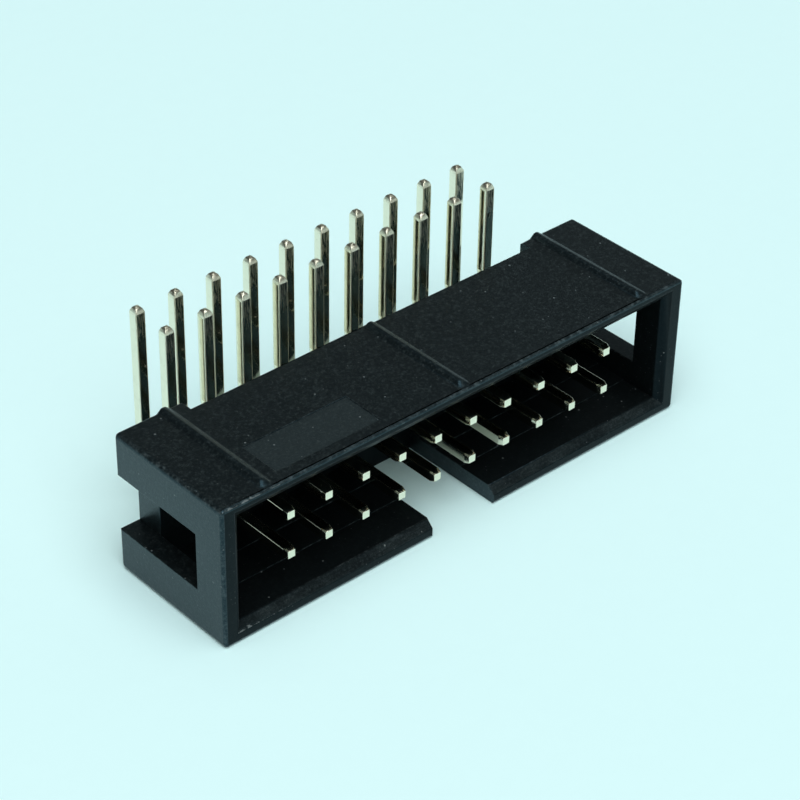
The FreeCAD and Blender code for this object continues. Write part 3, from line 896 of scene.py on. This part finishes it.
def map_wire(wire, name, sizes):
    """Store each vertex's place on the wire in millimetres, and how cut or rounded it is."""
    low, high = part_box(name)
    centre_x = (low.x + high.x) / 2
    row_z = row_height(name)
    tail_y = high.y - WIRE / 2
    radius = sizes.bend_radius + WIRE / 2
    bend_y = tail_y - radius
    bend_z = row_z + radius
    kinds = {"on_wire": "FLOAT_VECTOR", "cut": "FLOAT", "corner": "FLOAT"}
    for key, kind in kinds.items():
        wire.data.attributes.new(key, kind, "POINT")
    place, cut, corner = (wire.data.attributes[key].data for key in kinds)
    for index, vertex in enumerate(wire.data.vertices):
        point = vertex.co
        if point.y <= bend_y:
            through, along = point.z - row_z, point.y - bend_y
        elif point.z >= bend_z:
            through, along = tail_y - point.y, radius * math.pi / 2 + point.z - bend_z
        else:
            arm = Vector((point.y - bend_y, bend_z - point.z))
            through, along = radius - arm.length, radius * math.atan2(arm.x, arm.y)
        place[index].vector = Vector((point.x - centre_x, through, along)) / MM
        in_tip = point.y < low.y + 0.5 * sizes.mating_tip_length
        in_tip = in_tip or point.z > high.z - 0.9 * sizes.tail_tip_length
        if in_tip:
            cut[index].value = 1.0 if along > 0 else MATING_CUT
        elif max(abs(point.x - centre_x), abs(through)) < WIRE / 2 - NEAR / 5:
            corner[index].value = 1.0 if along > 0 else MATING_CORNER


def shear_tips(wire, name, sizes, chance):
    """Make the sheared tail tip slightly uneven, each contact in its own way."""
    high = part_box(name)[1]
    lean = Vector((chance.uniform(-1, 1), chance.uniform(-1, 1))) * SHEAR_LEAN
    for vertex in wire.data.vertices:
        depth = (high.z - vertex.co.z) / sizes.tail_tip_length
        if depth < 0.9:
            amount = sizes.roughness_of_cut * (1.0 - depth)
            vertex.co.x += amount * (chance.uniform(-1, 1) + lean.x)
            vertex.co.y += amount * (chance.uniform(-1, 1) + lean.y)
            vertex.co.z -= amount * abs(chance.uniform(0, 1))


def build_contacts(context, names, seed):
    """Model one contact of a row, copy it to each column and finish each copy."""
    sizes = context.scene.header_contacts
    plating = (bpy.data.materials.get("tin_plating")
               or make_plating(shared_groups(), context.scene.header_finishes))
    master = bend_contact(names[0], sizes)
    round_edges(master, contact_edge_radii(names[0], sizes), sizes.corner)
    first_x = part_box(names[0])[0].x
    chance = random.Random(seed)
    for name in names:
        wire = master.copy()
        wire.data = master.data.copy()
        wire.name = name + "_wire"
        context.scene.collection.objects.link(wire)
        wire.data.transform(Matrix.Translation((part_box(name)[0].x - first_x, 0, 0)))
        shear_tips(wire, name, sizes, chance)
        map_wire(wire, name, sizes)
        smooth_flats(wire, shoulder_test(name, sizes))
        finish_piece(wire, [name], [plating])
    bpy.data.objects.remove(master)


class HEADER_OT_bend_long_contacts(bpy.types.Operator):
    """Bend the ten long contacts of the lower row"""
    bl_idname = "header.bend_long_contacts"
    bl_label = "Bend the Long Contacts"

    def execute(self, context):
        build_contacts(context, LONG_CONTACTS, seed=11)
        return {"FINISHED"}


class HEADER_OT_bend_short_contacts(bpy.types.Operator):
    """Bend the ten short contacts of the upper row"""
    bl_idname = "header.bend_short_contacts"
    bl_label = "Bend the Short Contacts"

    def execute(self, context):
        build_contacts(context, SHORT_CONTACTS, seed=23)
        return {"FINISHED"}


def shared_groups():
    """Return the shared node groups, made on first use."""
    makers = {
        "grain": ("moulded_grain", make_grain_group),
        "specks": ("scattered_specks", make_speck_group),
        "wear_and_edge_highlight": ("edge_rubbing_and_highlight", make_wear_and_highlight_group),
        "streaks": ("drawing_lines", make_streak_group),
    }
    return {key: bpy.data.node_groups.get(name) or make() for key, (name, make) in makers.items()}


def lay_table(context):
    """Lay the pale table top just under the housing."""
    bpy.ops.object.select_all(action="DESELECT")
    bpy.ops.mesh.primitive_plane_add(size=TABLE_SIDE, location=(0, 0, -TABLE_GAP))
    table = only(bpy.context.object)
    table.name = "table"
    bpy.ops.object.transform_apply(location=True, rotation=True, scale=True)
    table.data.materials.append(make_table_finish(context.scene.header_finishes))


def away(azimuth, elevation):
    """Return the direction towards a viewer or lamp; azimuth 0 is in front of the mouth."""
    level = math.cos(elevation)
    return Vector((math.sin(azimuth) * level, -math.cos(azimuth) * level, math.sin(elevation)))


def hang_soft_box(name, azimuth, elevation, side, power):
    """Hang a square soft box, turned to the object, at an azimuth and elevation in degrees."""
    lamp = bpy.data.lights.new(name, "AREA")
    lamp.shape = "SQUARE"
    lamp.size = side
    lamp.energy = power
    lamp.color = LAMP_COLOUR
    box = bpy.data.objects.new(name, lamp)
    outward = away(math.radians(azimuth), math.radians(elevation))
    box.location = outward * LAMP_DISTANCE
    box.rotation_euler = outward.to_track_quat("Z", "Y").to_euler()
    bpy.context.scene.collection.objects.link(box)


def light_room(scene, strength):
    """Make a dim room, lighter on the right, and pale near the horizon and to the camera."""
    world = bpy.data.worlds.new("room")
    world.use_nodes = True
    scene.world = world
    bench = NodeBench(world.node_tree)
    direction = bench.parts(bench.add("ShaderNodeTexCoord").outputs["Generated"])
    upward = bench.ramp(direction["Z"], 0.03, 0.32)
    sideways = bench.ramp(direction["X"], 0.05, 0.8)
    left, right = ([part * strength * share for part in ROOM_COLOUR] for share in (ROOM_LEFT, ROOM_RIGHT))
    room = bench.mix_colour(sideways, left, right)
    seen = bench.add("ShaderNodeLightPath").outputs["Is Camera Ray"]
    dim = bench.times(upward, bench.minus(1.0, seen))
    background = world.node_tree.nodes["Background"]
    bench.feed(background.inputs["Color"], bench.mix_colour(dim, HORIZON_COLOUR, room))


def set_camera(scene, stage):
    """Place the camera by its turn, height angle and tilt about the point it looks at."""
    target = Vector((0.404, -1.099, 4.756)) * MM
    back = away(stage.azimuth, stage.elevation)
    level = Vector((0, 0, 1)).cross(back).normalized()
    upright = back.cross(level)
    turned = Matrix((level, upright, back)).transposed() @ Matrix.Rotation(stage.roll, 3, "Z")
    data = bpy.data.cameras.new("camera")
    data.lens = stage.lens
    data.sensor_width = 36.0
    data.clip_start = 0.005
    data.clip_end = 20.0
    camera = bpy.data.objects.new("camera", data)
    scene.collection.objects.link(camera)
    camera.matrix_world = Matrix.Translation(target + back * stage.distance) @ turned.to_4x4()
    scene.camera = camera


class HEADER_OT_set_stage(bpy.types.Operator):
    """Lay the pale table, hang the soft boxes and place the camera"""
    bl_idname = "header.set_stage"
    bl_label = "Set the Stage"

    def execute(self, context):
        scene = context.scene
        stage = scene.header_stage
        lay_table(context)
        hang_soft_box("key_box", azimuth=-30, elevation=65, side=1.6, power=stage.key_power)
        hang_soft_box("fill_box", azimuth=150, elevation=80, side=1.0, power=stage.fill_power)
        light_room(scene, stage.world_strength)
        set_camera(scene, stage)
        scene.view_settings.view_transform = "Standard"
        return {"FINISHED"}


class HEADER_PT_sidebar(bpy.types.Panel):
    """The sidebar that lists the steps and their sizes"""
    bl_idname = "HEADER_PT_sidebar"
    bl_label = "Box Header"
    bl_space_type = "VIEW_3D"
    bl_region_type = "UI"
    bl_category = "Box Header"

    def draw(self, context):
        layout = self.layout
        for step in STEPS:
            layout.operator(step)
        for group in GROUPS:
            box = layout.box()
            settings = getattr(context.scene, group)
            for name in settings.bl_rna.properties.keys():
                if name not in {"rna_type", "name"}:
                    box.prop(settings, name)


STEPS = ("header.mould_housing", "header.bend_long_contacts", "header.bend_short_contacts",
         "header.set_stage")
GROUPS = {"header_housing": HousingSizes, "header_contacts": ContactSizes,
          "header_finishes": Finishes, "header_stage": StageSettings}
CLASSES = (*GROUPS.values(), HEADER_OT_mould_housing, HEADER_OT_bend_long_contacts,
           HEADER_OT_bend_short_contacts, HEADER_OT_set_stage, HEADER_PT_sidebar)


def register():
    """Register the classes and give the scene its settings."""
    for item in CLASSES:
        bpy.utils.register_class(item)
    for name, group in GROUPS.items():
        setattr(bpy.types.Scene, name, PointerProperty(type=group))


def unregister():
    """Take the settings and the classes away again."""
    for name in GROUPS:
        delattr(bpy.types.Scene, name)
    for item in reversed(CLASSES):
        bpy.utils.unregister_class(item)


def main():
    """Register the add-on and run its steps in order."""
    register()
    bpy.ops.header.mould_housing()
    bpy.ops.header.bend_long_contacts()
    bpy.ops.header.bend_short_contacts()
    bpy.ops.header.set_stage()


if __name__ == "__main__":
    main()
